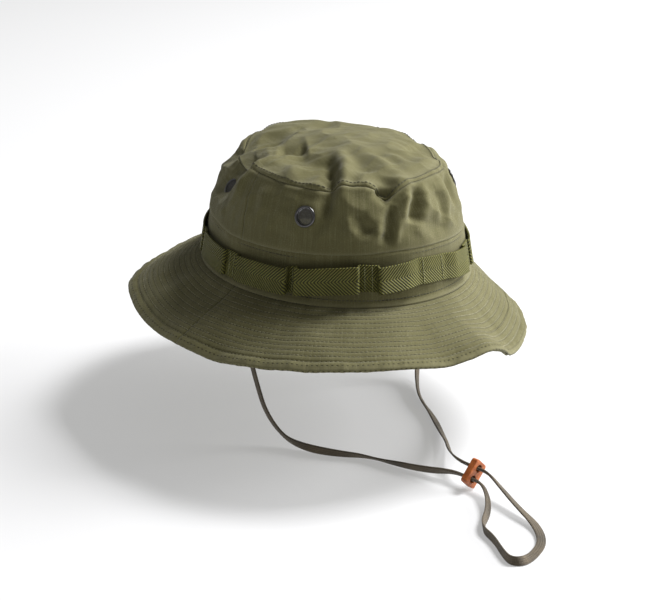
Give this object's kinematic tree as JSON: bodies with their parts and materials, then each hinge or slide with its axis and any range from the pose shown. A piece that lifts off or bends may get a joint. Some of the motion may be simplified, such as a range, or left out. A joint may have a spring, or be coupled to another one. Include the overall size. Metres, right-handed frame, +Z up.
{
  "type": "boonie hat",
  "caption": "Soft cloth sun hat with a stitched drooping brim, webbing foliage loops, screened vents and a chin cord with a leather slider.",
  "frame": {"origin": "centre of the head opening, on the seam between crown and brim", "axes": "+Z up towards the crown's tip, -Y the wearer's front, +X the wearer's left"},
  "size_m": [0.2734, 0.4048, 0.1979],
  "materials": {
    "cloth": "matte olive ripstop-free cotton poplin, faint diagonal weave",
    "sweatband_cloth": "matte cotton tape",
    "webbing": "herringbone cotton webbing, slight sheen",
    "gunmetal": "semi-gloss dark oxide",
    "screen": "fine woven mesh",
    "cord": "flat woven tape, matte",
    "leather": "tan leather, smooth face with cut edges"
  },
  "bodies": {
    "hat": {"crown_tip_panel": "cloth", "crown_side_front": "cloth", "crown_side_back": "cloth", "crown_band": "cloth", "brim_upper_front": "cloth", "brim_upper_back": "cloth", "brim_lower_front": "cloth", "brim_lower_back": "cloth", "sweatband": "sweatband_cloth", "webbing_loop_01": "webbing", "webbing_loop_02": "webbing", "webbing_loop_03": "webbing", "webbing_loop_04": "webbing", "webbing_loop_05": "webbing", "webbing_loop_06": "webbing", "webbing_loop_07": "webbing", "webbing_loop_08": "webbing", "webbing_loop_09": "webbing", "webbing_loop_10": "webbing", "webbing_loop_11": "webbing", "webbing_loop_12": "webbing", "vent_eyelet_1": "gunmetal", "vent_washer_1": "gunmetal", "vent_screen_1": "screen", "vent_eyelet_2": "gunmetal", "vent_washer_2": "gunmetal", "vent_screen_2": "screen", "vent_eyelet_3": "gunmetal", "vent_washer_3": "gunmetal", "vent_screen_3": "screen", "vent_eyelet_4": "gunmetal", "vent_washer_4": "gunmetal", "vent_screen_4": "screen", "chin_cord": "cord"},
    "slider": {"cord_slider": "leather"}
  },
  "joints": [
    {"name": "slider_slide", "type": "slide", "parent": "hat", "child": "slider", "axis": [0.0872, -0.9962, 0], "range_m": [-0.006, 0.003]}
  ]
}
